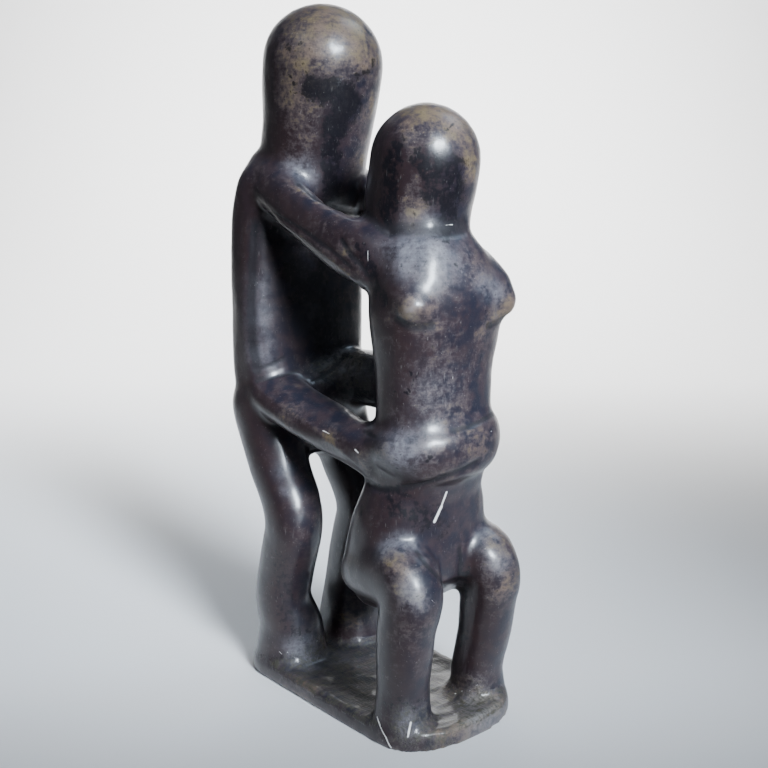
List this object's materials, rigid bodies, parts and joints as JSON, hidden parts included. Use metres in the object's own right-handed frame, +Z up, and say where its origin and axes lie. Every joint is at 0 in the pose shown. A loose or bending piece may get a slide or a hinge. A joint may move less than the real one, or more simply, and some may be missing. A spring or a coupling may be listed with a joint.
{
  "type": "stone sculpture",
  "caption": "Dark stone carving of a standing figure holding a half-seated figure by the waist, on one thin plinth.",
  "frame": {"origin": "middle of the plinth's underside, on the surface it stands on", "axes": "+Z up along the carving's height, -Y the way both figures face, +X to the figures' left"},
  "size_m": [0.103, 0.1999, 0.4423],
  "materials": {
    "stone": "waxed, semi-gloss, worn olive and tan on its high places"
  },
  "bodies": {
    "root": {"stone_figures": "stone"}
  },
  "joints": []
}
